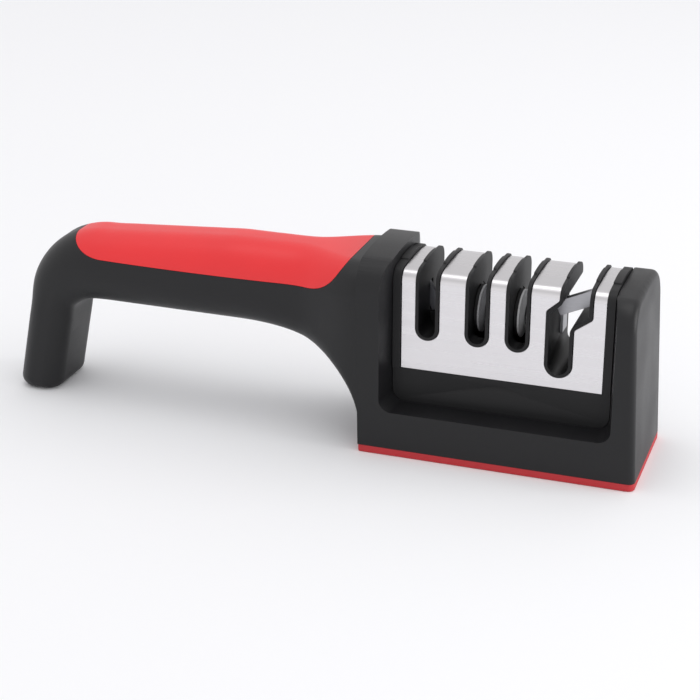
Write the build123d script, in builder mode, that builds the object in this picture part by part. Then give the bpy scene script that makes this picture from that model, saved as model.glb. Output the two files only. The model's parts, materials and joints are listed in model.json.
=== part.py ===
"""Hand-held pull-through sharpener for knives and scissors, in millimetres.

+X runs along the length from the handle to the sharpening head, +Y points away
from the user's side and +Z is up.  The origin is the centre of the base pad's
underside, so the sharpener stands on the plane Z = 0.
"""

import os
from collections import namedtuple
from math import cos, radians, sin, tan

from build123d import *

# ---- Clearances ----------------------------------------------------------
slip = 0.2                 # pieces that lift or drop into each other
seam = 0.1                 # pieces that are joined for good
running_fit = 0.05         # wheel bore round its axle, radial
side_play = 0.25           # wheel beside the wall of its chamber

# ---- Head of the body ----------------------------------------------------
head_length = 87.0
head_depth = 42.2
pad_thickness = 2.4
ledge_height = 15.6        # floor that the cartridge stands on
left_tower_top = 62.8
right_tower_top = 59.2
tower_crown = 1.9          # rise of a tower's top from its edges to the middle
tower_shoulder = 9.5
left_end_lean = 1.0        # the handle end leans out at the top
right_end_lean = 3.0       # the free end leans in
end_rounding = 2.2         # outer edge of the free end
root_rounding = 1.0        # corners of the pad at the handle's end
shell_wall = 2.5
cradle_flare = 1.9         # widening of the cradle from the cartridge to the faces, at each end
cradle_drop = 1.0          # the same at its floor
cradle_corner = 4.0

# ---- Handle and foot -----------------------------------------------------
handle_depth = 27.0
nose_tall = 24.2           # at the bend
handle_tall = 27.5         # where the flare towards the head starts
finger_room = 32.5         # height of the handle's underside
handle_corner = 11.5
foot_reach = 168.8         # from the origin to the outer edge of the foot
foot_length = 15.0
foot_depth = 25.0
foot_corner = 6.0
foot_lean = 12.2           # degrees from upright
sole_rounding = 3.5
handle_slope = 1.9         # how much the handle's axis drops towards the foot
bend_radius = 17.0         # between the foot and the handle, along the middle
flare_length = 48.0        # stretch over which the handle's underside drops to the base
side_flare_length = 24.0   # stretch over which its sides widen
flare_power = 2.4
root_drop = 2.9            # from the tower's top down to the handle's, where they meet
root_inset = 0.1           # step from each side of the head in to the handle
root_corner = 10.0
root_low_corner = 1.0
root_low_lift = 0.2        # from the pad up to the handle's underside
root_sink = 0.6            # how far inside the head the flare ends
sole_cut = 4.0
spine_steps = 24
flare_steps = 12

# ---- Grip inlay ----------------------------------------------------------
grip_thickness = 3.0
grip_seam_drop = 10.1      # from the handle's top down to the inlay's lower edge
grip_sag = 0.5             # how far that edge bows down between its ends
grip_nose = 149.6          # from the origin to the inlay's far tip
grip_nose_rounding = 16.0
grip_tail = 47.1           # from the origin to its end at the head, level with the tower's top
grip_tail_lean = 33.7      # degrees from upright
grip_tail_rounding = 14.0
trough_wall = 3.0          # solid between the trough and the inlay on each side
trough_rounding = 4.0
trough_nose_gap = 12.0     # solid stretch between the inlay's nose and the trough
trough_tail_gap = 2.0      # the same at its other end
trough_floor = 4.0

# ---- Base ----------------------------------------------------------------
plate_thickness = 2.2
screw_inset_x = 11.0
screw_inset_y = 8.5
screw_radius = 1.25
screw_head_radius = 2.5
screw_head_height = 1.5
screw_tip_gap = 0.3        # room past the tip of a base screw
boss_radius = 3.2
tower_hollow = 2.6         # width of the hollow inside each tower
tower_hollow_drop = 9.0    # solid stretch above that hollow
cavity_corner = 1.5
screw_socket = 1.1         # corner radius of the hexagon socket

# ---- Cartridge -----------------------------------------------------------
cartridge_center = -0.6
cartridge_length = 68.1
cartridge_depth = 26.4
cartridge_top = 59.35
cartridge_crown = 0.9
cartridge_shoulder = 3.6
tray_top = 26.9            # joint between the tray and the core
tray_wall = 2.0
tray_corner = 4.0
notch_width = 16.5         # finger notch in the tray's front
notch_height = 2.4
notch_depth = 0.9            # at the arch, running out to nothing below
notch_lift = 4.8           # height of the notch above the tray's floor
flange_length = 2.55       # black flange at each end of the steel cover
cover_sheet = 0.5
rim_proud = 0.6            # how far the black rims stand out of the steel
rim_wall = 1.0
crest_proud = 1.2          # the rims stand higher near the middle
crest_half_depth = 6.0
crest_crown = 0.4
crest_rounding = 0.5
rib_width = 3.0            # ribs on the cradle's two ends, which guide the cartridge
rib_depth = 0.8
rib_top = 50.0
tray_screw_inset = 5.0
tray_column_radius = 3.2
tray_screw_recess = 6.0    # depth of the screw heads' recess in the tray
tray_screw_grip = 5.0      # length of thread in the core

# ---- Slots, as the openings in the steel cover ----------------------------
slot_width = 7.5
slot_bottom = 37.0
carbide_x = -23.85
diamond_x = -8.2
ceramic_x = 4.3
scissors_left = 12.9
scissors_right = 21.4
scissors_bottom = 30.5
neck_x = 16.8
neck_bottom = 51.4
neck_top = 54.9
throat_x = 26.9
throat_bottom = 46.2
throat_top = 50.2
scissors_rounding = 1.4

# ---- Sharpening elements --------------------------------------------------
axle_height = 44.6
axle_radius = 1.5
wheel_radius = 7.4
ring_bore = 3.5
ring_thickness = 0.6
wheel_rim = 1.0            # straight rim of the carrier behind the ring
vee_half_angle = 13.0
wheel_gap = 0.2            # from the slot's middle to each wheel's face
chamber_clearance = 0.8
axle_wall = 1.2
carbide_crossing = 47.3
carbide_half_angle = 31.0
carbide_length = 9.0
carbide_width = 4.0
carbide_thickness = 1.6
carbide_overrun = 3.5      # length of each blade beyond the crossing
bar_tilt = 24.0            # degrees from level
bar_thickness = 2.4
bar_width = 4.6
bar_length = 14.6
bar_center_x = 21.0
bar_center_y = -3.6
bar_center_z = 52.2
guide_thickness = 1.6
guide_proud = 0.8          # how far the guide stands out of the slot's wall
guide_bottom = 38.7
guide_top = 49.3
guide_near = 2.2
guide_far = 8.0

# ---- Places that follow from the sizes above ------------------------------
head_end = head_length / 2
cartridge_left = cartridge_center - cartridge_length / 2
cartridge_right = cartridge_center + cartridge_length / 2
cover_length = cartridge_length - 2 * flange_length
cover_left = cartridge_center - cover_length / 2
cover_right = cartridge_center + cover_length / 2
seat_half = cartridge_length / 2 + slip
high = left_tower_top * 1.5           # above everything
root_top = left_tower_top - root_drop
root_depth = head_depth - 2 * root_inset
handle_top = finger_room + handle_tall
grip_seam_height = handle_top - grip_seam_drop
grip_tail_slope = tan(radians(grip_tail_lean))
grip_low_end = -grip_tail - (left_tower_top - grip_seam_height) * grip_tail_slope
chamber_radius = wheel_radius + chamber_clearance
wheel_face_rise = (wheel_radius - ring_bore) * tan(radians(vee_half_angle))
wheel_thickness = wheel_gap + wheel_face_rise + ring_thickness + wheel_rim
chamber_half_width = wheel_thickness + side_play
guide_x = scissors_left + seam + rim_wall + guide_proud - guide_thickness / 2


def arch_outline(depth, bottom, top, crown, shoulder):
    """Outline seen along X: upright sides, rounded shoulders and a gentle crown."""
    edge = top - crown
    with BuildSketch() as outline:
        with BuildLine():
            Polyline((-depth / 2, edge), (-depth / 2, bottom), (depth / 2, bottom), (depth / 2, edge))
            ThreePointArc((depth / 2, edge), (0, top), (-depth / 2, edge))
        make_face()
        fillet(outline.vertices().group_by(Axis.Y)[-1], shoulder)
    return outline.sketch


def round_slot_outline(center):
    """Round-bottomed slot open at the top, seen from the front."""
    half = slot_width / 2
    round_center = slot_bottom + half
    with BuildSketch() as outline:
        with BuildLine():
            Polyline(
                (center + half, round_center), (center + half, high),
                (center - half, high), (center - half, round_center),
            )
            ThreePointArc(
                (center - half, round_center), (center, slot_bottom), (center + half, round_center)
            )
        make_face()
    return outline.sketch


def scissors_slot_outline():
    """Slot with a narrow lower part and a throat that widens to one side."""
    scissors_middle = (scissors_left + scissors_right) / 2
    round_center = scissors_bottom + (scissors_right - scissors_left) / 2
    with BuildSketch() as outline:
        with BuildLine():
            Polyline(
                (scissors_right, round_center), (scissors_right, throat_bottom),
                (throat_x, throat_top), (throat_x, high), (neck_x, high), (neck_x, neck_top),
                (scissors_left, neck_bottom), (scissors_left, round_center),
            )
            ThreePointArc(
                (scissors_left, round_center), (scissors_middle, scissors_bottom),
                (scissors_right, round_center),
            )
        make_face()
        # All corners but the two at the round bottom and the two at the open top.
        fillet(outline.vertices().sort_by(Axis.Y)[2:-2], scissors_rounding)
    return outline.sketch


# ---- Handle --------------------------------------------------------------
Station = namedtuple("Station", "plane tall deep top_corner low_corner")


def flare(share):
    """Growth from 0 to 1 that starts level and ends upright, like a quarter of an ellipse."""
    return 1 - (1 - share ** flare_power) ** (1 / flare_power)


def swell(share):
    """Growth from 0 to 1 that starts and ends level."""
    return share * share * (3 - 2 * share)


def section_outline(tall, deep, top_corner, low_corner):
    """Rounded section of the handle, square to its run."""
    with BuildSketch() as outline:
        Rectangle(deep, tall)
        fillet(outline.vertices().group_by(Axis.Y)[-1], top_corner)
        fillet(outline.vertices().group_by(Axis.Y)[0], low_corner)
    return outline.sketch


flare_end = root_sink - head_end
flare_start = flare_end - flare_length
side_flare_end = -head_end - left_end_lean
axis_height = finger_room + handle_tall / 2
spine_start = (foot_length / 2 - foot_reach - sole_cut * tan(radians(foot_lean)), 0, -sole_cut)
spine_corner = (spine_start[0] + axis_height * tan(radians(foot_lean)), 0, axis_height - handle_slope)
with BuildLine() as spine:
    FilletPolyline(spine_start, spine_corner, (flare_start, 0, axis_height), radius=bend_radius)
spine_wire = spine.wire()
foot_heading = sin(radians(foot_lean))

handle_stations = []
bend_end = spine_corner[0] + bend_radius
for step in range(spine_steps + 1):
    place = spine_wire @ (step / spine_steps)
    heading = spine_wire % (step / spine_steps)
    turned = min(1.0, max(0.0, (heading.X - foot_heading) / (1 - foot_heading)))
    along = min(1.0, max(0.0, (place.X - bend_end) / (flare_start - bend_end)))
    tall = nose_tall + (handle_tall - nose_tall) * along
    handle_stations.append(
        Station(
            Plane(origin=place, x_dir=(0, 1, 0), z_dir=heading),
            foot_length + (tall - foot_length) * turned,
            foot_depth + (handle_depth - foot_depth) * turned,
            foot_corner + (handle_corner - foot_corner) * turned,
            foot_corner + (handle_corner - foot_corner) * turned,
        )
    )
for step in range(1, flare_steps + 1):
    run = sin(radians(90 * step / flare_steps)) ** (2 / flare_power)
    x = flare_start + flare_length * run
    widening = swell(min(1.0, max(0.0, 1 - (side_flare_end - x) / side_flare_length)))
    low = finger_room - (finger_room - pad_thickness - root_low_lift) * flare(run)
    top = handle_top + (root_top - handle_top) * flare(run)
    handle_stations.append(
        Station(
            Plane(origin=(x, 0, (low + top) / 2), x_dir=(0, 1, 0), z_dir=(1, 0, 0)),
            top - low,
            handle_depth + (root_depth - handle_depth) * widening,
            handle_corner + (root_corner - handle_corner) * widening,
            handle_corner + (root_low_corner - handle_corner) * flare(run),
        )
    )

with BuildPart() as handle:
    for station in handle_stations:
        with BuildSketch(station.plane):
            add(section_outline(station.tall, station.deep, station.top_corner, station.low_corner))
    loft()
    split(bisect_by=Plane.XY, keep=Keep.TOP)

with BuildPart() as handle_core:
    for station in handle_stations:
        with BuildSketch(station.plane):
            add(
                section_outline(
                    station.tall - 2 * grip_thickness,
                    station.deep - 2 * grip_thickness,
                    station.top_corner - grip_thickness,
                    max(station.low_corner - grip_thickness, root_low_corner),
                )
            )
    loft()
    split(bisect_by=Plane.XY, keep=Keep.TOP)


def grip_outline():
    """Side view of the stretch that the inlay covers, open above the handle."""
    low_end = (grip_low_end, grip_seam_height)
    high_end = (-grip_tail + (high - left_tower_top) * grip_tail_slope, high)
    nose = (-grip_nose, grip_seam_height)
    with BuildSketch() as outline:
        with BuildLine():
            Polyline(low_end, high_end, (-grip_nose, high), nose)
            ThreePointArc(nose, ((grip_low_end - grip_nose) / 2, grip_seam_height - grip_sag), low_end)
        make_face()
        fillet(outline.vertices().sort_by_distance(nose)[0], grip_nose_rounding)
        fillet(outline.vertices().sort_by_distance(low_end)[0], grip_tail_rounding)
    return outline.sketch


with BuildPart() as grip_pocket:
    with BuildSketch(Plane.XZ):
        add(grip_outline())
    extrude(amount=head_depth, both=True)
    add(handle_core.part, mode=Mode.SUBTRACT)

with BuildPart() as grip_inlay:
    with BuildSketch(Plane.XZ):
        add(grip_outline())
        offset(amount=-seam, mode=Mode.REPLACE)
    extrude(amount=head_depth, both=True)
    add(handle.part, mode=Mode.INTERSECT)
    add(handle_core.part, mode=Mode.SUBTRACT)

# ---- Body shell ----------------------------------------------------------
with BuildPart() as head:
    for top, run in ((left_tower_top, -head_length), (right_tower_top, head_length)):
        with BuildSketch(Plane.YZ):
            add(arch_outline(head_depth, pad_thickness, top, tower_crown, tower_shoulder))
        extrude(amount=run)
    with BuildSketch(Plane.XZ):
        with BuildLine():
            Polyline(
                (-head_end, pad_thickness), (-head_end - left_end_lean, left_tower_top),
                (head_end - right_end_lean, left_tower_top), (head_end, pad_thickness), close=True,
            )
        make_face()
    extrude(amount=head_depth, both=True, mode=Mode.INTERSECT)
    free_end = faces().sort_by(Axis.X)[-1]
    fillet(free_end.edges().filter_by(lambda edge: edge.center().Z > ledge_height), end_rounding)

seat_side = Plane.XZ.offset(cartridge_depth / 2 + slip)
face_side = Plane.XZ.offset(head_depth / 2 + slip)

with BuildPart() as cradle:
    with BuildSketch(seat_side):
        with Locations((cartridge_center, (ledge_height + high) / 2)):
            RectangleRounded(2 * seat_half, high - ledge_height, cradle_corner)
    with BuildSketch(face_side):
        with Locations((cartridge_center, (ledge_height - cradle_drop + high) / 2)):
            RectangleRounded(
                2 * (seat_half + cradle_flare), high - ledge_height + cradle_drop, cradle_corner
            )
    loft()
    mirror(about=Plane.XZ)
    with BuildSketch(Plane.XZ):
        with Locations((cartridge_center, (ledge_height + high) / 2)):
            RectangleRounded(2 * seat_half, high - ledge_height, cradle_corner)
    extrude(amount=cartridge_depth / 2 + slip, both=True)

boss_spots = [
    (x, y)
    for x in (screw_inset_x - head_end, head_end - screw_inset_x)
    for y in (screw_inset_y - head_depth / 2, head_depth / 2 - screw_inset_y)
]
cavity_top = ledge_height - cradle_drop - shell_wall
plate_top = pad_thickness + plate_thickness
trough_start = trough_nose_gap - grip_nose
trough_end = grip_low_end - trough_tail_gap
trough_depth = handle_depth - 2 * (grip_thickness + trough_wall)
left_tower_middle = (cartridge_left - head_end) / 2
right_tower_middle = (cartridge_right + head_end - right_end_lean / 2) / 2
tower_hollow_depth = head_depth - 2 * tower_shoulder

with BuildPart() as body_shell:
    add(head.part)
    add(handle.part)
    sole = faces().sort_by(Axis.Z)[0]
    fillet(sole.edges(), sole_rounding)
    add(grip_pocket.part, mode=Mode.SUBTRACT)
    add(cradle.part, mode=Mode.SUBTRACT)
    with BuildSketch(Plane.XY.offset(ledge_height - cradle_drop)):
        with Locations((cartridge_center, 0)):
            Rectangle(2 * seat_half + 2 * rib_depth, rib_width)
            Rectangle(2 * (seat_half - rib_depth), rib_width, mode=Mode.SUBTRACT)
    extrude(amount=rib_top - ledge_height + cradle_drop)
    with BuildSketch(Plane.XY.offset(pad_thickness)):
        RectangleRounded(head_length - 2 * shell_wall, head_depth - 2 * shell_wall, cavity_corner)
    extrude(amount=cavity_top - pad_thickness, mode=Mode.SUBTRACT)
    with BuildSketch(Plane.XY.offset(pad_thickness)):
        with Locations((left_tower_middle, 0)):
            Rectangle(tower_hollow, tower_hollow_depth)
    extrude(amount=left_tower_top - tower_hollow_drop - pad_thickness, mode=Mode.SUBTRACT)
    with BuildSketch(Plane.XY.offset(pad_thickness)):
        with Locations((right_tower_middle, 0)):
            Rectangle(tower_hollow, tower_hollow_depth)
    extrude(amount=right_tower_top - tower_hollow_drop - pad_thickness, mode=Mode.SUBTRACT)
    with BuildSketch(Plane.XY.offset(finger_room + trough_floor)):
        with Locations(((trough_start + trough_end) / 2, 0)):
            RectangleRounded(trough_end - trough_start, trough_depth, trough_rounding)
    extrude(amount=high, mode=Mode.SUBTRACT)
    with BuildSketch(Plane.XY.offset(plate_top)):
        with Locations(*boss_spots):
            Circle(boss_radius)
            Circle(screw_radius + running_fit, mode=Mode.SUBTRACT)
    extrude(amount=cavity_top - plate_top)

with BuildPart() as base_plate:
    with BuildSketch(Plane.XY.offset(pad_thickness)):
        RectangleRounded(
            head_length - 2 * shell_wall - 2 * seam, head_depth - 2 * shell_wall - 2 * seam, cavity_corner
        )
    extrude(amount=plate_thickness)
    with BuildSketch(Plane.XY.offset(pad_thickness)):
        with Locations(*boss_spots):
            Circle(screw_head_radius + seam)
    extrude(amount=screw_head_height + seam, mode=Mode.SUBTRACT)
    with BuildSketch(Plane.XY.offset(pad_thickness)):
        with Locations(*boss_spots):
            Circle(screw_radius + running_fit)
    extrude(amount=plate_thickness, mode=Mode.SUBTRACT)

with BuildPart() as base_screws:
    with BuildSketch(Plane.XY.offset(pad_thickness + seam)):
        with Locations(*boss_spots):
            Circle(screw_head_radius)
    extrude(amount=screw_head_height)
    with BuildSketch(Plane.XY.offset(pad_thickness + seam)):
        with Locations(*boss_spots):
            Circle(screw_radius)
    extrude(amount=cavity_top - pad_thickness - seam - screw_tip_gap)
    with BuildSketch(Plane.XY.offset(pad_thickness + seam)):
        with Locations(*boss_spots):
            RegularPolygon(screw_socket, 6)
    extrude(amount=screw_head_height / 2, mode=Mode.SUBTRACT)

with BuildPart() as base_pad:
    with BuildSketch(Plane.XY) as pad_outline:
        Rectangle(head_length, head_depth)
        fillet(pad_outline.vertices().group_by(Axis.X)[-1], end_rounding)
        fillet(pad_outline.vertices().group_by(Axis.X)[0], root_rounding)
    extrude(amount=pad_thickness)

# ---- Cartridge -----------------------------------------------------------
tray_floor = ledge_height + tray_wall
saddle_left = diamond_x - chamber_half_width - axle_wall
saddle_right = ceramic_x + chamber_half_width + axle_wall
saddle_walls = [
    (saddle_left, saddle_left + axle_wall),
    (diamond_x + chamber_half_width, ceramic_x - chamber_half_width),
    (saddle_right - axle_wall, saddle_right),
]
down_edge = (sin(radians(carbide_half_angle)), -cos(radians(carbide_half_angle)))
carbide_reach = (carbide_length - carbide_overrun) * down_edge[0] + carbide_width * -down_edge[1]
carbide_low = carbide_crossing + carbide_overrun * down_edge[1] - carbide_width * down_edge[0]
carbide_high = carbide_crossing - (carbide_length - carbide_overrun) * down_edge[1]
tray_screw_spots = [
    (x, y)
    for x in (cartridge_left + tray_screw_inset, cartridge_right - tray_screw_inset)
    for y in (tray_screw_inset - cartridge_depth / 2, cartridge_depth / 2 - tray_screw_inset)
]


with BuildPart() as rib_grooves:
    with BuildSketch(Plane.XY.offset(ledge_height)):
        with Locations((cartridge_center, 0)):
            Rectangle(cartridge_length, rib_width + 2 * slip)
            Rectangle(cartridge_length - 2 * rib_depth, rib_width + 2 * slip, mode=Mode.SUBTRACT)
    extrude(amount=rib_top + slip - ledge_height)


# Finger notch: an arch sunk into the front, deepest along its upper edge.
notch_low = tray_floor + notch_lift
with BuildPart() as finger_notch:
    with BuildSketch(Plane.XZ.offset(cartridge_depth / 2)):
        with BuildLine():
            ThreePointArc(
                (cartridge_center - notch_width / 2, notch_low),
                (cartridge_center, notch_low + notch_height),
                (cartridge_center + notch_width / 2, notch_low),
            )
            Line(
                (cartridge_center + notch_width / 2, notch_low),
                (cartridge_center - notch_width / 2, notch_low),
            )
        make_face()
    extrude(amount=-notch_depth)
    with BuildSketch(Plane.YZ):
        with BuildLine():
            Polyline(
                (-cartridge_depth / 2, notch_low), (-cartridge_depth / 2, notch_low + notch_height),
                (notch_depth - cartridge_depth / 2, notch_low + notch_height), close=True,
            )
        make_face()
    extrude(amount=notch_width, both=True, mode=Mode.INTERSECT)

with BuildPart() as cartridge_tray:
    with BuildSketch(Plane.XZ) as tray_outline:
        with Locations((cartridge_center, (ledge_height + tray_top) / 2)):
            Rectangle(cartridge_length, tray_top - ledge_height)
        fillet(tray_outline.vertices().group_by(Axis.Y)[0], tray_corner)
    extrude(amount=cartridge_depth / 2, both=True)
    with BuildSketch(Plane.XY.offset(tray_floor)):
        with Locations((cartridge_center, 0)):
            Rectangle(cartridge_length - 2 * tray_wall, cartridge_depth - 2 * tray_wall)
    extrude(amount=tray_top - tray_floor, mode=Mode.SUBTRACT)
    with BuildSketch(Plane.XY.offset(tray_floor)):
        with Locations(*tray_screw_spots):
            Circle(tray_column_radius)
    extrude(amount=tray_top - tray_floor)
    with BuildSketch(Plane.XY.offset(tray_floor)):
        for near, away in saddle_walls:
            with Locations(((near + away) / 2, 0)):
                Rectangle(away - near, 2 * axle_radius)
    extrude(amount=axle_height - axle_radius - tray_floor)
    with BuildSketch(Plane.XY.offset(tray_floor)):
        with Locations((carbide_x, 0)):
            Rectangle(2 * carbide_reach, 2 * carbide_thickness)
    extrude(amount=carbide_low - tray_floor)
    with BuildSketch(Plane.XY.offset(ledge_height)):
        with Locations(*tray_screw_spots):
            Circle(screw_head_radius + seam)
    extrude(amount=tray_screw_recess, mode=Mode.SUBTRACT)
    with BuildSketch(Plane.XY.offset(ledge_height)):
        with Locations(*tray_screw_spots):
            Circle(screw_radius + running_fit)
    extrude(amount=tray_top - ledge_height, mode=Mode.SUBTRACT)
    add(finger_notch.part, mode=Mode.SUBTRACT)
    add(rib_grooves.part, mode=Mode.SUBTRACT)

slot_outlines = [round_slot_outline(x) for x in (carbide_x, diamond_x, ceramic_x)]
slot_outlines.append(scissors_slot_outline())

with BuildPart() as rim_profile:
    with BuildSketch(Plane.YZ):
        add(
            arch_outline(
                cartridge_depth + 2 * rim_proud, tray_top, cartridge_top + rim_proud,
                cartridge_crown, cartridge_shoulder + rim_proud,
            )
        )
    extrude(amount=head_length, both=True)
    with BuildSketch(Plane.YZ):
        add(
            arch_outline(
                2 * crest_half_depth, tray_top, cartridge_top + crest_proud, crest_crown, crest_rounding,
            )
        )
    extrude(amount=head_length, both=True)

with BuildPart() as cartridge_core:
    # Body under the steel.
    with BuildSketch(Plane.YZ.offset(cover_left - seam)):
        add(
            arch_outline(
                cartridge_depth - 2 * (cover_sheet + seam), tray_top, cartridge_top - cover_sheet - seam,
                cartridge_crown, cartridge_shoulder - cover_sheet,
            )
        )
    extrude(amount=cover_length + 2 * seam)
    # Rims round the slots, and the two end flanges.
    for outline in slot_outlines:
        with BuildSketch(Plane.XZ):
            add(outline)
            offset(amount=-seam, mode=Mode.REPLACE)
        extrude(amount=head_depth, both=True)
    with BuildSketch(Plane.XZ):
        for near, away in ((cartridge_left, cover_left - seam), (cover_right + seam, cartridge_right)):
            with Locations(((near + away) / 2, (tray_top + high) / 2)):
                Rectangle(away - near, high - tray_top)
    extrude(amount=head_depth, both=True)
    add(rim_profile.part, mode=Mode.INTERSECT)
    add(rib_grooves.part, mode=Mode.SUBTRACT)
    split(bisect_by=Plane.XY.offset(tray_top), keep=Keep.TOP)
    # The slots themselves.
    for outline in slot_outlines:
        with BuildSketch(Plane.XZ):
            add(outline)
            offset(amount=-rim_wall - seam, mode=Mode.REPLACE)
        extrude(amount=head_depth, both=True, mode=Mode.SUBTRACT)
    # Chambers for the wheels, open below.
    for x in (diamond_x, ceramic_x):
        with BuildSketch(Plane.YZ.offset(x - chamber_half_width)):
            with Locations((0, axle_height)):
                Circle(chamber_radius)
            with Locations((0, (axle_height + tray_top) / 2)):
                Rectangle(2 * chamber_radius, axle_height - tray_top)
        extrude(amount=2 * chamber_half_width, mode=Mode.SUBTRACT)
    # Saddles for the axle, open below.
    with BuildSketch(Plane.YZ.offset(saddle_left)):
        with Locations((0, axle_height)):
            Circle(axle_radius + seam)
        with Locations((0, (axle_height + tray_top) / 2)):
            Rectangle(2 * (axle_radius + seam), axle_height - tray_top)
    extrude(amount=saddle_right - saddle_left, mode=Mode.SUBTRACT)
    # Pocket for the two carbide blades, open below.
    with BuildSketch(Plane.XZ):
        with Locations((carbide_x, (tray_top + carbide_high + seam) / 2)):
            Rectangle(2 * (carbide_reach + seam), carbide_high + seam - tray_top)
    extrude(amount=carbide_thickness + seam, both=True, mode=Mode.SUBTRACT)
    # Seats for the scissors bar and its guide.
    with BuildSketch(Plane.XZ.offset(-bar_center_y)):
        with Locations((bar_center_x, bar_center_z)):
            Rectangle(bar_length, bar_width, rotation=bar_tilt)
    extrude(amount=bar_thickness / 2, both=True, mode=Mode.SUBTRACT)
    with BuildSketch(Plane.XY.offset(guide_bottom)):
        with Locations((guide_x, (guide_near + guide_far) / 2)):
            Rectangle(guide_thickness, guide_far - guide_near)
    extrude(amount=guide_top - guide_bottom, mode=Mode.SUBTRACT)
    with BuildSketch(Plane.XY.offset(tray_top)):
        with Locations(*tray_screw_spots):
            Circle(screw_radius + running_fit)
    extrude(amount=tray_screw_grip, mode=Mode.SUBTRACT)

with BuildPart() as steel_cover:
    with BuildSketch(Plane.YZ.offset(cover_left)):
        add(
            arch_outline(cartridge_depth, tray_top, cartridge_top, cartridge_crown, cartridge_shoulder)
        )
        add(
            arch_outline(
                cartridge_depth - 2 * cover_sheet, tray_top, cartridge_top - cover_sheet,
                cartridge_crown, cartridge_shoulder - cover_sheet,
            ),
            mode=Mode.SUBTRACT,
        )
    extrude(amount=cover_length)
    for outline in slot_outlines:
        with BuildSketch(Plane.XZ):
            add(outline)
        extrude(amount=head_depth, both=True, mode=Mode.SUBTRACT)

screw_neck = ledge_height + tray_screw_recess - screw_head_height / 2

with BuildPart() as tray_screws:
    with BuildSketch(Plane.XY.offset(ledge_height + tray_screw_recess - screw_head_height)):
        with Locations(*tray_screw_spots):
            Circle(screw_head_radius)
            RegularPolygon(screw_socket, 6, mode=Mode.SUBTRACT)
    extrude(amount=screw_head_height)
    with BuildSketch(Plane.XY.offset(screw_neck)):
        with Locations(*tray_screw_spots):
            Circle(screw_radius)
    extrude(amount=tray_top + tray_screw_grip - seam - screw_neck)

# ---- Sharpening elements --------------------------------------------------
carbide_blades = {}
for name, side in (("front", 1), ("rear", -1)):
    # The front blade's edge falls to the right, and the rear blade mirrors it.
    with BuildPart() as blade:
        with BuildSketch(Plane.XZ.offset(side * carbide_thickness / 2)):
            with BuildLine():
                run = [
                    (carbide_overrun * down_edge[0], carbide_overrun * down_edge[1]),
                    ((carbide_overrun - carbide_length) * down_edge[0],
                     (carbide_overrun - carbide_length) * down_edge[1]),
                ]
                edge_in = (carbide_width * down_edge[1], -carbide_width * down_edge[0])
                corners = [
                    run[0],
                    run[1],
                    (run[1][0] + edge_in[0], run[1][1] + edge_in[1]),
                    (run[0][0] + edge_in[0], run[0][1] + edge_in[1]),
                ]
                Polyline(*[(carbide_x + side * x, carbide_crossing + z) for x, z in corners], close=True)
            make_face()
        extrude(amount=carbide_thickness / 2, both=True)
    carbide_blades[name] = blade

axle_line = Axis((0, 0, axle_height), (1, 0, 0))
ring_inner_x = wheel_gap + ring_thickness
rim_x = wheel_gap + wheel_face_rise
wheels = {}
for stage, x in (("diamond", diamond_x), ("ceramic", ceramic_x)):
    for name, side in (("left", -1), ("right", 1)):
        with BuildPart() as carrier:
            with BuildSketch(Plane.XZ):
                with BuildLine():
                    Polyline(
                        *[
                            (x + side * away, axle_height + up)
                            for away, up in (
                                (wheel_gap, axle_radius + running_fit),
                                (wheel_gap, ring_bore),
                                (ring_inner_x, ring_bore),
                                (rim_x + ring_thickness, wheel_radius),
                                (wheel_thickness, wheel_radius),
                                (wheel_thickness, axle_radius + running_fit),
                            )
                        ],
                        close=True,
                    )
                make_face()
            revolve(axis=axle_line)
        with BuildPart() as ring:
            with BuildSketch(Plane.XZ):
                with BuildLine():
                    Polyline(
                        *[
                            (x + side * away, axle_height + up)
                            for away, up in (
                                (wheel_gap, ring_bore), (rim_x, wheel_radius),
                                (rim_x + ring_thickness, wheel_radius), (ring_inner_x, ring_bore),
                            )
                        ],
                        close=True,
                    )
                make_face()
            revolve(axis=axle_line)
        wheels[f"{stage}_wheel_{name}"] = carrier
        wheels[f"{stage}_ring_{name}"] = ring

with BuildPart() as wheel_axle:
    with BuildSketch(Plane.YZ.offset(saddle_left + seam)):
        with Locations((0, axle_height)):
            Circle(axle_radius)
    extrude(amount=saddle_right - saddle_left - 2 * seam)

with BuildPart() as scissors_bar:
    with BuildSketch(Plane.XZ.offset(-bar_center_y)):
        with Locations((bar_center_x, bar_center_z)):
            Rectangle(bar_length, bar_width, rotation=bar_tilt)
    extrude(amount=bar_thickness / 2, both=True)

with BuildPart() as scissors_guide:
    with BuildSketch(Plane.XY.offset(guide_bottom)):
        with Locations((guide_x, (guide_near + guide_far) / 2)):
            Rectangle(guide_thickness, guide_far - guide_near)
    extrude(amount=guide_top - guide_bottom)

pieces = {
    "body_shell": body_shell,
    "grip_inlay": grip_inlay,
    "base_plate": base_plate,
    "base_screws": base_screws,
    "base_pad": base_pad,
    "cartridge_tray": cartridge_tray,
    "cartridge_core": cartridge_core,
    "steel_cover": steel_cover,
    "tray_screws": tray_screws,
    "carbide_blade_front": carbide_blades["front"],
    "carbide_blade_rear": carbide_blades["rear"],
    "wheel_axle": wheel_axle,
    "scissors_bar": scissors_bar,
    "scissors_guide": scissors_guide,
    **wheels,
}

os.makedirs("parts", exist_ok=True)
for name, piece in pieces.items():
    piece.part.label = name
    export_step(piece.part, f"parts/{name}.step")
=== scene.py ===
"""Looks of a hand-held pull-through sharpener for knives and scissors.

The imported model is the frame.  Each piece made here stands for the node that it
is copied from, with merged doubles, smooth faces, softened edges and the finish
of the real piece.  Every length is in metres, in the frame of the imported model.
"""

import json
import math

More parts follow.
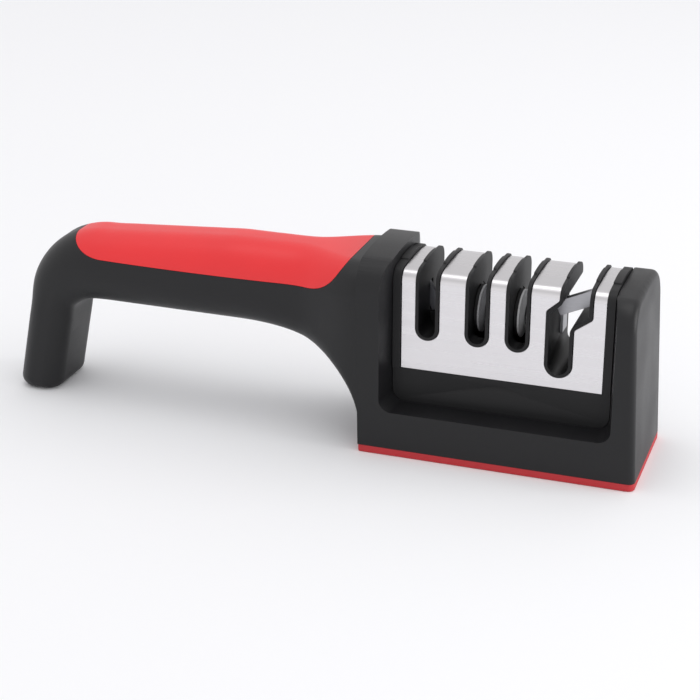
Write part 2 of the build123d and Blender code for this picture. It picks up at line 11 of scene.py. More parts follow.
import bmesh
import bpy
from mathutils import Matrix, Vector


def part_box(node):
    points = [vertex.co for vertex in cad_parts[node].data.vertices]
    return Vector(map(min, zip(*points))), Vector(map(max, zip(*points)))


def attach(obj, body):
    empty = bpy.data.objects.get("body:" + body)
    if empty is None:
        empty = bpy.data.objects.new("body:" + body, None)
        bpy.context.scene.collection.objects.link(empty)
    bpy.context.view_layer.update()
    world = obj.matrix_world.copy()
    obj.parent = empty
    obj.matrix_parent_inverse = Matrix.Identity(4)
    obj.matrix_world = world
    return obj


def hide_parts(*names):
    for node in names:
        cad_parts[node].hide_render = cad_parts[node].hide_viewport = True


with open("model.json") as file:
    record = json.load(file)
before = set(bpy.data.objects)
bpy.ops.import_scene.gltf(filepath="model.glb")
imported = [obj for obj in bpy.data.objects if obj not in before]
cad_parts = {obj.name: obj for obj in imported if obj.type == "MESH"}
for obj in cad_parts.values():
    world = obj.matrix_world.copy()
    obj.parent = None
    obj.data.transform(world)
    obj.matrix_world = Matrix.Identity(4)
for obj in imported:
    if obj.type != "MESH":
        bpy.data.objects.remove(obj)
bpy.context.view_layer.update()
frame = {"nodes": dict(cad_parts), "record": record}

bl_info = {
    "name": "Pull-through sharpener",
    "version": (1, 0, 0),
    "blender": (4, 5, 0),
    "location": "View3D > Sidebar > Sharpener",
    "description": "Dresses a hand-held sharpener for knives and scissors",
    "category": "Object",
}

MM = 0.001

# Camera and world
LENS = 91.03
SENSOR = 36.0
VIEW_END = 20.0
CAMERA_PLACE = (0.11772, -0.49235, 0.24465)
CAMERA_TURN = (math.radians(67.1), 0.0, math.radians(19.15))
WORLD_LIGHT = "#f0f0f2"
WORLD_STRENGTH = 0.92

# Floor and softboxes
FLOOR_HALF = 6.0
FLOOR_SQUARES = 8
FLOOR_DROP = 0.05 * MM           # just under the pad, so that the two faces don't fight
OVERHEAD_PLACE = Vector((-0.1, -0.1, 1.8))
OVERHEAD_SIZE = 1.1
SIDE_PLACE = Vector((0.95, 0.1, 0.3))
SIDE_SIZE = 0.6
AIM = Vector((0.0, 0.0, 0.03))   # what the softboxes point at

# Meshes.  Smooth limits are in degrees: faces that meet at less shade as one.
SAME_PLACE = 0.002 * MM          # vertices closer than this are merged
FLAT = math.radians(0.4)         # faces that meet at less than this are merged
SMOOTH_BELOW = 30.0
TRAY_SMOOTH_BELOW = 12.0         # the finger notch runs into the tray's front at a small angle
BEVEL_ABOVE = math.radians(35)
BEVEL_STEPS = 2
HEAD_SIDES = 32
THREAD_SIDES = 24
THREAD_ROOT = 0.76               # radius at the thread's root, as a share of that at its crest

# Patterns.  Scales are in waves per metre.
GLOSS_WAVES = 45.0               # one wave in 22 mm
TINT_CLOUDS = 70.0               # one cloud in 14 mm
PAPER_FIBRES = 400.0             # one tuft in 2.5 mm
BLOTCH = 0.8 * MM
FOLD_DROP = 3.0 * MM             # from the top of the steel cover down to its fold
FOLD_RUN = 0.9 * MM              # over which the painted shade on the cover's top fades in at the fold
STREAK_STRETCH = 0.012           # a brush line's width, as a share of its length
SCRATCH_STRETCH = 0.04           # the same for a scratch of the grinding stone

# Light of a pattern's dark parts, as a share of the full colour
PLASTIC_SHADE = 0.86
RUBBER_SHADE = 0.9
STREAK_SHADE = 0.93
# painted shade: share of light left on the steel cover's top above the fold
PAINTED_TOP_SHADE = 0.74
SCRATCH_SHADE = 0.7
PLATING_SHADE = 0.75
PAPER_SHADE = 0.995

# Sockets of a Mix node that blends two colours
SHARE, COLOUR_A, COLOUR_B, BLEND = 0, 6, 7, 2


def linear(code):
    """Linear colour, with an alpha of 1, of an sRGB hex value such as "#2c2c2e"."""
    shares = [int(code[i:i + 2], 16) / 255 for i in (1, 3, 5)]
    return (*(c / 12.92 if c <= 0.04045 else ((c + 0.055) / 1.055) ** 2.4 for c in shares), 1.0)


# ---- Sizes and colours a user may change --------------------------------------
class BodyFinish(bpy.types.PropertyGroup):
    """Black moulded body and the plate that closes it."""

    colour: bpy.props.FloatVectorProperty(
        name="Colour", description="Colour of the black plastic", subtype="COLOR", size=4,
        min=0.0, max=1.0, default=linear("#18181a"),
    )
    # Real pits are about 0.1 mm apart: drawn coarser, so that they show.
    grain: bpy.props.FloatProperty(
        name="Grain", description="Distance between the pits of the mould's grain",
        subtype="DISTANCE", unit="LENGTH", default=0.4 * MM,
    )
    edge: bpy.props.FloatProperty(
        name="Edge", description="Width of the softened edges",
        subtype="DISTANCE", unit="LENGTH", default=0.35 * MM,
    )


class GripFinish(bpy.types.PropertyGroup):
    """Red grip and red pad."""

    colour: bpy.props.FloatVectorProperty(
        name="Grip", description="Colour of the soft-touch grip", subtype="COLOR", size=4,
        min=0.0, max=1.0, default=linear("#ee2328"),
    )
    pad_colour: bpy.props.FloatVectorProperty(
        name="Pad", description="Colour of the non-slip pad", subtype="COLOR", size=4,
        min=0.0, max=1.0, default=linear("#c0242c"),
    )
    # The real skin is finer: drawn coarser, so that it shows.
    grain: bpy.props.FloatProperty(
        name="Grain", description="Distance between the pits of the rubber's skin",
        subtype="DISTANCE", unit="LENGTH", default=0.35 * MM,
    )


class CartridgeFinish(bpy.types.PropertyGroup):
    """Steel-covered cartridge."""

    steel: bpy.props.FloatVectorProperty(
        name="Steel", description="Colour of the stainless sheet", subtype="COLOR", size=4,
        min=0.0, max=1.0, default=linear("#e5e3e5"),
    )
    plastic: bpy.props.FloatVectorProperty(
        name="Plastic", description="Colour of the cartridge's plastic", subtype="COLOR", size=4,
        min=0.0, max=1.0, default=linear("#0f0f11"),
    )
    # Real brush lines are under 0.1 mm apart: drawn coarser, so that they show.
    brushing: bpy.props.FloatProperty(
        name="Brushing", description="Distance between the brush lines of the sheet",
        subtype="DISTANCE", unit="LENGTH", default=0.25 * MM,
    )
    sheet_edge: bpy.props.FloatProperty(
        name="Sheet edge", description="Width of the bright edge of the cut sheet",
        subtype="DISTANCE", unit="LENGTH", default=0.2 * MM,
    )


class GrindingFinish(bpy.types.PropertyGroup):
    """Grinding wheels, carbide blades and scissors bar."""

    diamond: bpy.props.FloatVectorProperty(
        name="Diamond", description="Colour of the bonded diamond grit", subtype="COLOR", size=4,
        min=0.0, max=1.0, default=linear("#d0d0d3"),
    )
    ceramic: bpy.props.FloatVectorProperty(
        name="Ceramic", description="Colour of the fine ceramic", subtype="COLOR", size=4,
        min=0.0, max=1.0, default=linear("#dededf"),
    )
    carbide: bpy.props.FloatVectorProperty(
        name="Carbide", description="Colour of the ground carbide", subtype="COLOR", size=4,
        min=0.0, max=1.0, default=linear("#8a8a90"),
    )
    bar: bpy.props.FloatVectorProperty(
        name="Scissors bar", description="Colour of the ground bar and its guide",
        subtype="COLOR", size=4, min=0.0, max=1.0, default=linear("#bcbcc0"),
    )
    # Real grains of this stage are about 0.1 mm wide: drawn coarser, so that they show.
    grit: bpy.props.FloatProperty(
        name="Grit", description="Distance between the grains of the diamond facing",
        subtype="DISTANCE", unit="LENGTH", default=0.25 * MM,
    )


class ScrewSizes(bpy.types.PropertyGroup):
    """Screws of the base plate and of the tray."""

    head_radius: bpy.props.FloatProperty(
        name="Head radius", description="Radius of a screw's head",
        subtype="DISTANCE", unit="LENGTH", default=2.5 * MM,
    )
    head_height: bpy.props.FloatProperty(
        name="Head height", description="Height of a screw's head",
        subtype="DISTANCE", unit="LENGTH", default=1.5 * MM,
    )
    shank_radius: bpy.props.FloatProperty(
        name="Shank radius", description="Radius over the thread's crests",
        subtype="DISTANCE", unit="LENGTH", default=1.25 * MM,
    )
    pitch: bpy.props.FloatProperty(
        name="Pitch", description="Distance from one turn of the thread to the next",
        subtype="DISTANCE", unit="LENGTH", default=0.6 * MM,
    )
    socket_radius: bpy.props.FloatProperty(
        name="Socket radius", description="Corner radius of the hexagon socket",
        subtype="DISTANCE", unit="LENGTH", default=1.1 * MM,
    )


class StageSettings(bpy.types.PropertyGroup):
    """Floor, light and camera."""

    floor: bpy.props.FloatVectorProperty(
        name="Floor", description="Colour of the paper floor", subtype="COLOR", size=4,
        min=0.0, max=1.0, default=linear("#f8f8f9"),
    )
    background: bpy.props.FloatVectorProperty(
        name="Background", description="Colour of the surroundings as seen",
        subtype="COLOR", size=4, min=0.0, max=1.0, default=linear("#f8f7f8"),
    )
    overhead: bpy.props.FloatProperty(
        name="Overhead softbox", description="Power of the large softbox overhead",
        unit="POWER", default=5.6,
    )
    side: bpy.props.FloatProperty(
        name="Side softbox", description="Power of the softbox at the free end",
        unit="POWER", default=4.2,
    )


# ---- Nodes and materials ------------------------------------------------------
def add_node(tree, kind, inputs=None, links=None, **settings):
    """A new node with its settings, the values of its sockets and what feeds them."""
    node = tree.nodes.new(kind)
    for name, value in settings.items():
        setattr(node, name, value)
    for name, value in (inputs or {}).items():
        node.inputs[name].default_value = value
    for name, source in (links or {}).items():
        tree.links.new(source, node.inputs[name])
    return node


def new_material(name):
    """An empty node material and its tree."""
    material = bpy.data.materials.new(name)
    material.use_nodes = True
    material.node_tree.nodes.clear()
    return material, material.node_tree


def darker(colour, share):
    """A colour with its light cut to a share."""
    return (*(c * share for c in colour[:3]), 1.0)


def moulded_plastic(name, colour, grain, roughness):
    """Injection-moulded ABS from a spark-eroded mould.

    The fine pits scatter highlights, so the surface looks satin, and slow waves in
    the gloss show where the mould was polished a little more or less.
    """
    material, tree = new_material(name)
    place = add_node(tree, "ShaderNodeTexCoord").outputs["Object"]
    pits = add_node(
        tree, "ShaderNodeTexNoise", {"Scale": 1 / grain, "Detail": 3.0, "Roughness": 0.6},
        {"Vector": place},
    ).outputs["Fac"]
    waves = add_node(
        tree, "ShaderNodeTexNoise", {"Scale": GLOSS_WAVES, "Detail": 2.0}, {"Vector": place}
    ).outputs["Fac"]
    tint = add_node(
        tree, "ShaderNodeMix", {COLOUR_A: darker(colour, PLASTIC_SHADE), COLOUR_B: colour},
        {SHARE: waves}, data_type="RGBA",
    ).outputs[BLEND]
    gloss = add_node(
        tree, "ShaderNodeMath", {1: 0.5}, {0: pits, 2: waves}, operation="MULTIPLY_ADD"
    ).outputs[0]
    rough = add_node(
        tree, "ShaderNodeMapRange",
        {"From Min": 0.5, "From Max": 1.0, "To Min": roughness - 0.05, "To Max": roughness + 0.07},
        {"Value": gloss},
    ).outputs["Result"]
    bump = add_node(
        tree, "ShaderNodeBump", {"Strength": 0.3, "Distance": grain * 0.05}, {"Height": pits}
    ).outputs["Normal"]
    shader = add_node(
        tree, "ShaderNodeBsdfPrincipled", {"IOR": 1.5, "Specular IOR Level": 0.36},
        {"Base Color": tint, "Roughness": rough, "Normal": bump},
    )
    add_node(tree, "ShaderNodeOutputMaterial", links={"Surface": shader.outputs["BSDF"]})
    return material


def soft_rubber(name, colour, grain, roughness):
    """Moulded thermoplastic rubber with a soft-touch skin.

    Its skin spreads highlights into broad pale patches.
    """
    material, tree = new_material(name)
    place = add_node(tree, "ShaderNodeTexCoord").outputs["Object"]
    skin = add_node(
        tree, "ShaderNodeTexNoise", {"Scale": 1 / grain, "Detail": 4.0, "Roughness": 0.65},
        {"Vector": place},
    ).outputs["Fac"]
    clouds = add_node(
        tree, "ShaderNodeTexNoise", {"Scale": TINT_CLOUDS, "Detail": 2.0}, {"Vector": place}
    ).outputs["Fac"]
    tint = add_node(
        tree, "ShaderNodeMix", {COLOUR_A: darker(colour, RUBBER_SHADE), COLOUR_B: colour},
        {SHARE: clouds}, data_type="RGBA",
    ).outputs[BLEND]
    rough = add_node(
        tree, "ShaderNodeMapRange", {"To Min": roughness - 0.06, "To Max": roughness + 0.08},
        {"Value": skin},
    ).outputs["Result"]
    bump = add_node(
        tree, "ShaderNodeBump", {"Strength": 0.25, "Distance": grain * 0.06}, {"Height": skin}
    ).outputs["Normal"]
    shader = add_node(
        tree, "ShaderNodeBsdfPrincipled", {"IOR": 1.5, "Specular IOR Level": 0.6},
        {"Base Color": tint, "Roughness": rough, "Normal": bump},
    )
    add_node(tree, "ShaderNodeOutputMaterial", links={"Surface": shader.outputs["BSDF"]})
    return material


def brushed_stainless(name, colour, brushing, fold_height):
    """Stainless sheet, brushed along its length and folded over the core.

    The brushing draws fine streaks along X.  Above the fold the sheet's top is painted
    darker: painted shade for the less light that the top reflects.
    """
    material, tree = new_material(name)
    place = add_node(tree, "ShaderNodeTexCoord").outputs["Object"]
    scale = (STREAK_STRETCH / brushing, 1 / brushing, 1 / brushing)
    along = add_node(
        tree, "ShaderNodeMapping", {"Scale": scale}, {"Vector": place}
    ).outputs["Vector"]
    streaks = add_node(
        tree, "ShaderNodeTexNoise", {"Scale": 1.0, "Detail": 5.0, "Roughness": 0.7},
        {"Vector": along},
    ).outputs["Fac"]
    broad = add_node(
        tree, "ShaderNodeTexNoise", {"Scale": 0.12, "Detail": 2.0}, {"Vector": along}
    ).outputs["Fac"]
    height = add_node(tree, "ShaderNodeSeparateXYZ", links={"Vector": place}).outputs["Z"]
    # painted shade: from the fold upwards the colour is mixed towards a darker tone, for the less
    # light that the top reflects
    fold = add_node(
        tree, "ShaderNodeMapRange", {"From Min": fold_height, "From Max": fold_height + FOLD_RUN},
        {"Value": height},
    ).outputs["Result"]
    tint = add_node(
        tree, "ShaderNodeMix", {COLOUR_A: darker(colour, STREAK_SHADE), COLOUR_B: colour},
        {SHARE: streaks}, data_type="RGBA",
    ).outputs[BLEND]
    tint = add_node(
        tree, "ShaderNodeMix", {COLOUR_B: darker(colour, PAINTED_TOP_SHADE)},
        {SHARE: fold, COLOUR_A: tint}, data_type="RGBA",
    ).outputs[BLEND]
    rough = add_node(
        tree, "ShaderNodeMapRange",
        {"From Min": 0.3, "From Max": 0.7, "To Min": 0.24, "To Max": 0.36}, {"Value": broad},
    ).outputs["Result"]
    bump = add_node(
        tree, "ShaderNodeBump", {"Strength": 0.12, "Distance": brushing * 0.1}, {"Height": streaks}
    ).outputs["Normal"]
    shader = add_node(
        tree, "ShaderNodeBsdfPrincipled", {"Metallic": 1.0},
        {"Base Color": tint, "Roughness": rough, "Normal": bump},
    )
    add_node(tree, "ShaderNodeOutputMaterial", links={"Surface": shader.outputs["BSDF"]})
    return material


def ground_metal(name, colour, spacing, roughness, direction):
    """Metal ground on a surface grinder.

    The stone leaves fine straight scratches, which show as faint lines of lighter
    and darker grey across the given direction.
    """
    material, tree = new_material(name)
    place = add_node(tree, "ShaderNodeTexCoord").outputs["Object"]
    scale = tuple(1 / spacing if axis == direction else SCRATCH_STRETCH / spacing for axis in "XYZ")
    along = add_node(
        tree, "ShaderNodeMapping", {"Scale": scale}, {"Vector": place}
    ).outputs["Vector"]
    lines = add_node(
        tree, "ShaderNodeTexNoise", {"Scale": 1.0, "Detail": 3.0, "Roughness": 0.7},
        {"Vector": along},
    ).outputs["Fac"]
    tint = add_node(
        tree, "ShaderNodeMix", {COLOUR_A: darker(colour, SCRATCH_SHADE), COLOUR_B: colour},
        {SHARE: lines}, data_type="RGBA",
    ).outputs[BLEND]
    rough = add_node(
        tree, "ShaderNodeMapRange", {"To Min": roughness - 0.08, "To Max": roughness + 0.1},
        {"Value": lines},
    ).outputs["Result"]
    bump = add_node(
        tree, "ShaderNodeBump", {"Strength": 0.2, "Distance": spacing * 0.1}, {"Height": lines}
    ).outputs["Normal"]
    shader = add_node(
        tree, "ShaderNodeBsdfPrincipled", {"Metallic": 1.0},
        {"Base Color": tint, "Roughness": rough, "Normal": bump},
    )
    add_node(tree, "ShaderNodeOutputMaterial", links={"Surface": shader.outputs["BSDF"]})
    return material


def bonded_grit(name, colour, grain, roughness, contrast):
    """Abrasive grains in a hard bond.

    Each grain stands out of the bond as a lighter speck, so the face looks matt
    and finely freckled.
    """
    material, tree = new_material(name)
    place = add_node(tree, "ShaderNodeTexCoord").outputs["Object"]
    grains = add_node(tree, "ShaderNodeTexVoronoi", {"Scale": 1 / grain}, {"Vector": place})
    share = add_node(
        tree, "ShaderNodeMapRange", {"From Max": 0.7, "To Min": 1.0, "To Max": 0.0},
        {"Value": grains.outputs["Distance"]},
    ).outputs["Result"]
    tint = add_node(
        tree, "ShaderNodeMix", {COLOUR_A: darker(colour, contrast), COLOUR_B: colour},
        {SHARE: share}, data_type="RGBA",
    ).outputs[BLEND]
    bump = add_node(
        tree, "ShaderNodeBump", {"Strength": 0.5, "Distance": grain * 0.2}, {"Height": share}
    ).outputs["Normal"]
    shader = add_node(
        tree, "ShaderNodeBsdfPrincipled", {"IOR": 1.6, "Roughness": roughness},
        {"Base Color": tint, "Normal": bump},
    )
    add_node(tree, "ShaderNodeOutputMaterial", links={"Surface": shader.outputs["BSDF"]})
    return material


def zinc_plate(name, colour):
    """Zinc-plated steel.

    The plating has a bluish, slightly blotchy shine.
    """
    material, tree = new_material(name)
    place = add_node(tree, "ShaderNodeTexCoord").outputs["Object"]
    blotches = add_node(
        tree, "ShaderNodeTexNoise", {"Scale": 1 / BLOTCH, "Detail": 3.0}, {"Vector": place}
    ).outputs["Fac"]
    tint = add_node(
        tree, "ShaderNodeMix", {COLOUR_A: darker(colour, PLATING_SHADE), COLOUR_B: colour},
        {SHARE: blotches}, data_type="RGBA",
    ).outputs[BLEND]
    rough = add_node(
        tree, "ShaderNodeMapRange", {"To Min": 0.25, "To Max": 0.45}, {"Value": blotches}
    ).outputs["Result"]
    shader = add_node(
        tree, "ShaderNodeBsdfPrincipled", {"Metallic": 1.0},
        {"Base Color": tint, "Roughness": rough},
    )
    add_node(tree, "ShaderNodeOutputMaterial", links={"Surface": shader.outputs["BSDF"]})
    return material


# ---- Meshes ---------------------------------------------------------------------
def link_piece(name, mesh, body, node_names):
    """An object that rides on a body and stands for its nodes."""
    piece = bpy.data.objects.new(name, mesh)
    bpy.context.scene.collection.objects.link(piece)
    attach(piece, body)
    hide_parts(*node_names)
    return piece


def body_of(node_name):
    """The body that a node rides on."""
    for body, node_names in frame["record"]["behaviour"]["bodies"].items():
        if node_name in node_names:
            return body
    raise RuntimeError("no body holds " + node_name)


def soft_copy(node_name, material, edge, smooth_below=SMOOTH_BELOW):
    """A copy of a node with merged doubles, smooth faces and softened edges."""
    mesh = frame["nodes"][node_name].data.copy()
    mesh.name = node_name + "_finished"
    work = bmesh.new()
    work.from_mesh(mesh)
    bmesh.ops.remove_doubles(work, verts=work.verts, dist=SAME_PLACE)
    bmesh.ops.dissolve_limit(
        work, angle_limit=FLAT, verts=work.verts, edges=work.edges, delimit={"NORMAL"}
    )
    work.to_mesh(mesh)
    work.free()
    mesh.materials.clear()
    mesh.materials.append(material)
    mesh.shade_smooth()
    mesh.set_sharp_from_angle(angle=math.radians(smooth_below))
    piece = link_piece(mesh.name, mesh, body_of(node_name), [node_name])
    bevel = piece.modifiers.new("soft edges", "BEVEL")
    bevel.width = edge
    bevel.segments = BEVEL_STEPS
    bevel.limit_method = "ANGLE"
    bevel.angle_limit = BEVEL_ABOVE
    bevel.harden_normals = True
    return piece


def screw_tree(material):
    """Geometry nodes: threaded screws with a hexagon socket, head down, one on each point."""
    tree = bpy.data.node_groups.new("threaded screws", "GeometryNodeTree")
    tree.interface.new_socket(name="Points", in_out="INPUT", socket_type="NodeSocketGeometry")
    for name in ("Head Radius", "Head Height", "Shank Radius", "Pitch", "Socket Radius", "Length"):
        tree.interface.new_socket(name=name, in_out="INPUT", socket_type="NodeSocketFloat")
    tree.interface.new_socket(name="Screws", in_out="OUTPUT", socket_type="NodeSocketGeometry")
    given = add_node(tree, "NodeGroupInput").outputs
    half_head = add_node(
        tree, "ShaderNodeMath", {1: 0.5}, {0: given["Head Height"]}, operation="MULTIPLY"
    ).outputs[0]
    lift = add_node(tree, "ShaderNodeCombineXYZ", links={"Z": half_head}).outputs[0]
    head = add_node(
        tree, "GeometryNodeMeshCylinder", {"Vertices": HEAD_SIDES},
        {"Radius": given["Head Radius"], "Depth": given["Head Height"]},
    ).outputs["Mesh"]
    head = add_node(
        tree, "GeometryNodeTransform", links={"Geometry": head, "Translation": lift}
    ).outputs["Geometry"]
    socket = add_node(
        tree, "GeometryNodeMeshCylinder", {"Vertices": 6},
        {"Radius": given["Socket Radius"], "Depth": given["Head Height"]},
    ).outputs["Mesh"]
    head = add_node(
        tree, "GeometryNodeMeshBoolean", links={"Mesh 1": head, "Mesh 2": socket},
        operation="DIFFERENCE",
    ).outputs["Mesh"]
    root_radius = add_node(
        tree, "ShaderNodeMath", {1: THREAD_ROOT}, {0: given["Shank Radius"]}, operation="MULTIPLY"
    ).outputs[0]
    turn = add_node(
        tree, "GeometryNodeMeshCone", {"Vertices": THREAD_SIDES},
        {"Radius Top": root_radius, "Radius Bottom": given["Shank Radius"],
         "Depth": given["Pitch"]},
    ).outputs["Mesh"]
    shank = add_node(
        tree, "ShaderNodeMath", links={0: given["Length"], 1: given["Head Height"]},
        operation="SUBTRACT",
    ).outputs[0]
    count = add_node(
        tree, "ShaderNodeMath", links={0: shank, 1: given["Pitch"]}, operation="DIVIDE"
    ).outputs[0]
    count = add_node(tree, "ShaderNodeMath", links={0: count}, operation="FLOOR").outputs[0]
    start = add_node(tree, "ShaderNodeCombineXYZ", links={"Z": given["Head Height"]}).outputs[0]
    step = add_node(tree, "ShaderNodeCombineXYZ", links={"Z": given["Pitch"]}).outputs[0]
    line = add_node(
        tree, "GeometryNodeMeshLine",
        links={"Count": count, "Start Location": start, "Offset": step},
    ).outputs["Mesh"]
    thread = add_node(
        tree, "GeometryNodeInstanceOnPoints", links={"Points": line, "Instance": turn}
    ).outputs["Instances"]
    joined = add_node(tree, "GeometryNodeJoinGeometry")
    tree.links.new(head, joined.inputs["Geometry"])
    tree.links.new(thread, joined.inputs["Geometry"])
    screws = add_node(
        tree, "GeometryNodeInstanceOnPoints",
        links={"Points": given["Points"], "Instance": joined.outputs["Geometry"]},
    ).outputs["Instances"]
    screws = add_node(
        tree, "GeometryNodeRealizeInstances", links={"Geometry": screws}
    ).outputs["Geometry"]
    screws = add_node(
        tree, "GeometryNodeSetMaterial", {"Material": material}, {"Geometry": screws}
    ).outputs["Geometry"]
    add_node(tree, "NodeGroupOutput", links={"Screws": screws})
    return tree


def screw_set(node_name, tree, sizes):
    """Four screws on the corners of a screw node's box, turned into a plain mesh."""
    low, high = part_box(node_name)
    inset = sizes.head_radius
    spots = [
        (x, y, low[2])
        for x in (low[0] + inset, high[0] - inset)
        for y in (low[1] + inset, high[1] - inset)
    ]
    mesh = bpy.data.meshes.new("screw spots")
    mesh.from_pydata(spots, [], [])
    spots_object = bpy.data.objects.new("screw spots", mesh)
    bpy.context.scene.collection.objects.link(spots_object)
    modifier = spots_object.modifiers.new("screws", "NODES")
    modifier.node_group = tree
    values = {
        "Head Radius": sizes.head_radius, "Head Height": sizes.head_height,
        "Shank Radius": sizes.shank_radius, "Pitch": sizes.pitch,
        "Socket Radius": sizes.socket_radius, "Length": high[2] - low[2],
    }
    for item in tree.interface.items_tree:
        if item.name in values:
            modifier[item.identifier] = values[item.name]
    evaluated = spots_object.evaluated_get(bpy.context.evaluated_depsgraph_get())
    result = bpy.data.meshes.new_from_object(evaluated)
    result.name = node_name + "_finished"
    spots_object.modifiers.remove(modifier)
    bpy.data.objects.remove(spots_object)
    if not result.polygons:
        raise RuntimeError("no screws for " + node_name)
    result.shade_smooth()
    result.set_sharp_from_angle(angle=math.radians(SMOOTH_BELOW))
    return link_piece(result.name, result, body_of(node_name), [node_name])


# ---- Operators --------------------------------------------------------------------
class SHARPENER_OT_stage(bpy.types.Operator):
    """Lay the floor, hang the softboxes and set the camera"""

    bl_idname = "sharpener.stage"
    bl_label = "Stage"

    def execute(self, context):
        settings = context.scene.sharpener_stage
        scene = context.scene
        camera_data = bpy.data.cameras.new("camera")
        camera_data.lens = LENS
        camera_data.sensor_width = SENSOR
        camera_data.clip_end = VIEW_END
        camera = bpy.data.objects.new("camera", camera_data)
        camera.location = CAMERA_PLACE
        camera.rotation_euler = CAMERA_TURN
        scene.collection.objects.link(camera)
        scene.camera = camera
        scene.view_settings.view_transform = "Standard"

        world = bpy.data.worlds.new("studio")
        scene.world = world
        world.use_nodes = True
        tree = world.node_tree
        tree.nodes.clear()
        light = add_node(
            tree, "ShaderNodeBackground", {"Color": linear(WORLD_LIGHT), "Strength": WORLD_STRENGTH}
        ).outputs[0]
        pale = add_node(tree, "ShaderNodeBackground", {"Color": settings.background}).outputs[0]
        path = add_node(tree, "ShaderNodeLightPath").outputs
        seen = add_node(
            tree, "ShaderNodeMath", links={0: path["Is Camera Ray"], 1: path["Is Glossy Ray"]},
            operation="MAXIMUM",
        ).outputs[0]
        seen = add_node(
            tree, "ShaderNodeMath", links={0: seen, 1: path["Is Transmission Ray"]},
            operation="MAXIMUM",
        ).outputs[0]
        mix = add_node(tree, "ShaderNodeMixShader", links={0: seen, 1: light, 2: pale}).outputs[0]
        add_node(tree, "ShaderNodeOutputWorld", links={"Surface": mix})

        mesh = bpy.data.meshes.new("floor")
        work = bmesh.new()
        bmesh.ops.create_grid(
            work, x_segments=FLOOR_SQUARES, y_segments=FLOOR_SQUARES, size=FLOOR_HALF
        )
        bmesh.ops.translate(work, verts=work.verts, vec=(0.0, 0.0, -FLOOR_DROP))
        work.to_mesh(mesh)
        work.free()
        # Matt paper: no gloss, and a faint mottling of its fibres.
        material, tree = new_material("matt white paper")
        place = add_node(tree, "ShaderNodeTexCoord").outputs["Object"]
        fibres = add_node(
            tree, "ShaderNodeTexNoise", {"Scale": PAPER_FIBRES, "Detail": 3.0}, {"Vector": place}
        ).outputs["Fac"]
        tint = add_node(
            tree, "ShaderNodeMix",
            {COLOUR_A: darker(settings.floor, PAPER_SHADE), COLOUR_B: settings.floor},
            {SHARE: fibres}, data_type="RGBA",
        ).outputs[BLEND]
        shader = add_node(
            tree, "ShaderNodeBsdfPrincipled", {"Roughness": 0.9, "Specular IOR Level": 0.2},
            {"Base Color": tint},
        )
        add_node(tree, "ShaderNodeOutputMaterial", links={"Surface": shader.outputs["BSDF"]})
        mesh.materials.append(material)
        floor = bpy.data.objects.new("floor", mesh)
        scene.collection.objects.link(floor)

        for name, place, size, power in (
            ("overhead softbox", OVERHEAD_PLACE, OVERHEAD_SIZE, settings.overhead),
            ("side softbox", SIDE_PLACE, SIDE_SIZE, settings.side),
        ):
            data = bpy.data.lights.new(name, "AREA")
            data.shape = "SQUARE"
            data.size = size
            data.energy = power
            lamp = bpy.data.objects.new(name, data)
            lamp.location = place
            lamp.rotation_euler = (place - AIM).to_track_quat("Z", "Y").to_euler()
            scene.collection.objects.link(lamp)
        return {"FINISHED"}


class SHARPENER_OT_body(bpy.types.Operator):
    """Finish the black body shell and the plate that closes it"""

    bl_idname = "sharpener.body"
    bl_label = "Body"

    def execute(self, context):
        finish = context.scene.sharpener_body
        black = moulded_plastic(
            "spark-eroded black ABS", finish.colour, finish.grain, roughness=0.42
        )
        soft_copy("body_shell", black, edge=finish.edge)
        soft_copy("base_plate", black, edge=0.2 * MM)
        return {"FINISHED"}


class SHARPENER_OT_grip(bpy.types.Operator):
    """Finish the red grip inlay and the red pad"""

    bl_idname = "sharpener.grip"
    bl_label = "Grip and pad"

    def execute(self, context):
        finish = context.scene.sharpener_grip
        red = soft_rubber("soft-touch red TPE", finish.colour, finish.grain, roughness=0.4)
        pad = soft_rubber("moulded red rubber", finish.pad_colour, finish.grain, roughness=0.6)
        soft_copy("grip_inlay", red, edge=0.5 * MM)
        soft_copy("base_pad", pad, edge=0.3 * MM)
        return {"FINISHED"}


class SHARPENER_OT_cartridge(bpy.types.Operator):
    """Finish the tray, the core and the steel cover of the cartridge"""

    bl_idname = "sharpener.cartridge"
    bl_label = "Cartridge"

    def execute(self, context):
        finish = context.scene.sharpener_cartridge
        black = moulded_plastic(
            "fine-textured black ABS", finish.plastic, grain=0.3 * MM, roughness=0.5
        )
        # the painted shade on the cover's top starts at the fold, this far under the top
        fold_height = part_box("steel_cover")[1][2] - FOLD_DROP
        steel = brushed_stainless(
            "brushed stainless sheet", finish.steel, finish.brushing, fold_height
        )
        soft_copy("cartridge_tray", black, edge=0.2 * MM, smooth_below=TRAY_SMOOTH_BELOW)
        soft_copy("cartridge_core", black, edge=0.2 * MM)
        soft_copy("steel_cover", steel, edge=finish.sheet_edge)
        return {"FINISHED"}


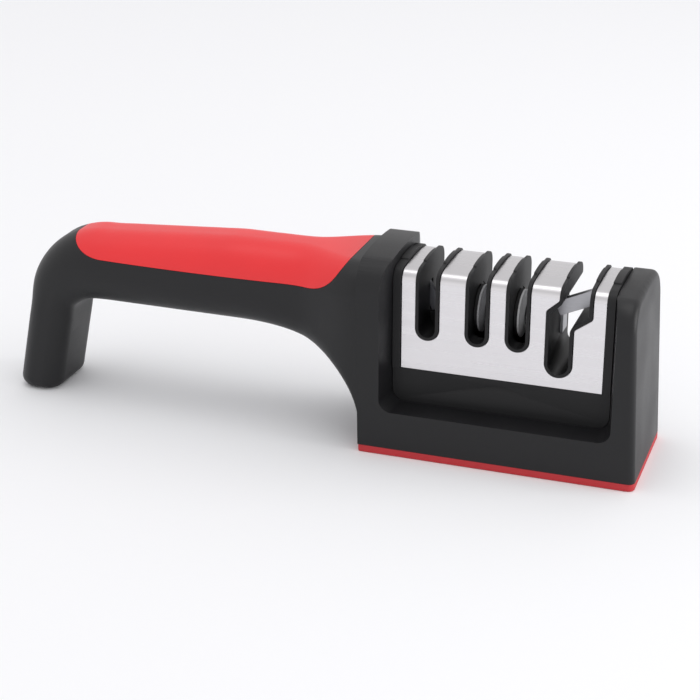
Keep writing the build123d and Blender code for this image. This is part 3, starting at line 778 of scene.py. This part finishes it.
class SHARPENER_OT_wheels(bpy.types.Operator):
    """Finish the grinding wheels, their rings and the axle"""

    bl_idname = "sharpener.wheels"
    bl_label = "Grinding wheels"

    def execute(self, context):
        finish = context.scene.sharpener_grinding
        carrier = moulded_plastic(
            "moulded black nylon", linear("#18181a"), grain=0.3 * MM, roughness=0.5
        )
        diamond = bonded_grit(
            "bonded diamond grit", finish.diamond, finish.grit, roughness=0.6, contrast=0.6
        )
        # The real grains are some thousandths of a millimetre: drawn coarser, so that they show.
        ceramic = bonded_grit(
            "sintered fine ceramic", finish.ceramic, grain=0.4 * MM, roughness=0.42, contrast=0.88
        )
        axle = ground_metal(
            "centreless-ground steel", linear("#c4c4c8"), spacing=0.1 * MM, roughness=0.25,
            direction="X",
        )
        for side in ("left", "right"):
            soft_copy("diamond_wheel_" + side, carrier, edge=0.1 * MM)
            soft_copy("ceramic_wheel_" + side, carrier, edge=0.1 * MM)
            soft_copy("diamond_ring_" + side, diamond, edge=0.1 * MM)
            soft_copy("ceramic_ring_" + side, ceramic, edge=0.1 * MM)
        soft_copy("wheel_axle", axle, edge=0.15 * MM)
        return {"FINISHED"}


class SHARPENER_OT_blades(bpy.types.Operator):
    """Finish the carbide blades, the scissors bar and its guide"""

    bl_idname = "sharpener.blades"
    bl_label = "Blades and scissors bar"

    def execute(self, context):
        finish = context.scene.sharpener_grinding
        # Real scratches are under 0.05 mm apart: drawn coarser, so that they show.
        carbide = ground_metal(
            "ground tungsten carbide", finish.carbide, spacing=0.15 * MM, roughness=0.3,
            direction="Z",
        )
        bar = ground_metal(
            "ground tool steel", finish.bar, spacing=0.2 * MM, roughness=0.34, direction="Z"
        )
        for node_name in ("carbide_blade_front", "carbide_blade_rear"):
            soft_copy(node_name, carbide, edge=0.08 * MM)
        for node_name in ("scissors_bar", "scissors_guide"):
            soft_copy(node_name, bar, edge=0.12 * MM)
        return {"FINISHED"}


class SHARPENER_OT_screws(bpy.types.Operator):
    """Make the screws of the base plate and of the tray"""

    bl_idname = "sharpener.screws"
    bl_label = "Screws"

    def execute(self, context):
        sizes = context.scene.sharpener_screws
        tree = screw_tree(zinc_plate("zinc-plated steel", linear("#b9bcc4")))
        screw_set("base_screws", tree, sizes)
        screw_set("tray_screws", tree, sizes)
        return {"FINISHED"}


# ---- Panel and registration ---------------------------------------------------------
groups = {
    "sharpener_stage": StageSettings,
    "sharpener_body": BodyFinish,
    "sharpener_grip": GripFinish,
    "sharpener_cartridge": CartridgeFinish,
    "sharpener_grinding": GrindingFinish,
    "sharpener_screws": ScrewSizes,
}
operators = (
    SHARPENER_OT_stage, SHARPENER_OT_body, SHARPENER_OT_grip, SHARPENER_OT_cartridge,
    SHARPENER_OT_wheels, SHARPENER_OT_blades, SHARPENER_OT_screws,
)


class SHARPENER_PT_panel(bpy.types.Panel):
    """Sizes, colours and steps of the sharpener"""

    bl_idname = "SHARPENER_PT_panel"
    bl_label = "Pull-through sharpener"
    bl_space_type = "VIEW_3D"
    bl_region_type = "UI"
    bl_category = "Sharpener"

    def draw(self, context):
        for name, group in groups.items():
            box = self.layout.box()
            for field in group.__annotations__:
                box.prop(getattr(context.scene, name), field)
        for operator in operators:
            self.layout.operator(operator.bl_idname)


def register():
    for group in groups.values():
        bpy.utils.register_class(group)
    for name, group in groups.items():
        setattr(bpy.types.Scene, name, bpy.props.PointerProperty(type=group))
    for operator in operators:
        bpy.utils.register_class(operator)
    bpy.utils.register_class(SHARPENER_PT_panel)


def unregister():
    bpy.utils.unregister_class(SHARPENER_PT_panel)
    for operator in reversed(operators):
        bpy.utils.unregister_class(operator)
    for name in groups:
        delattr(bpy.types.Scene, name)
    for group in groups.values():
        bpy.utils.unregister_class(group)


def main():
    """Registers the add-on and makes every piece."""
    register()
    bpy.ops.sharpener.stage()
    bpy.ops.sharpener.body()
    bpy.ops.sharpener.grip()
    bpy.ops.sharpener.cartridge()
    bpy.ops.sharpener.wheels()
    bpy.ops.sharpener.blades()
    bpy.ops.sharpener.screws()


if __name__ == "__main__":
    main()
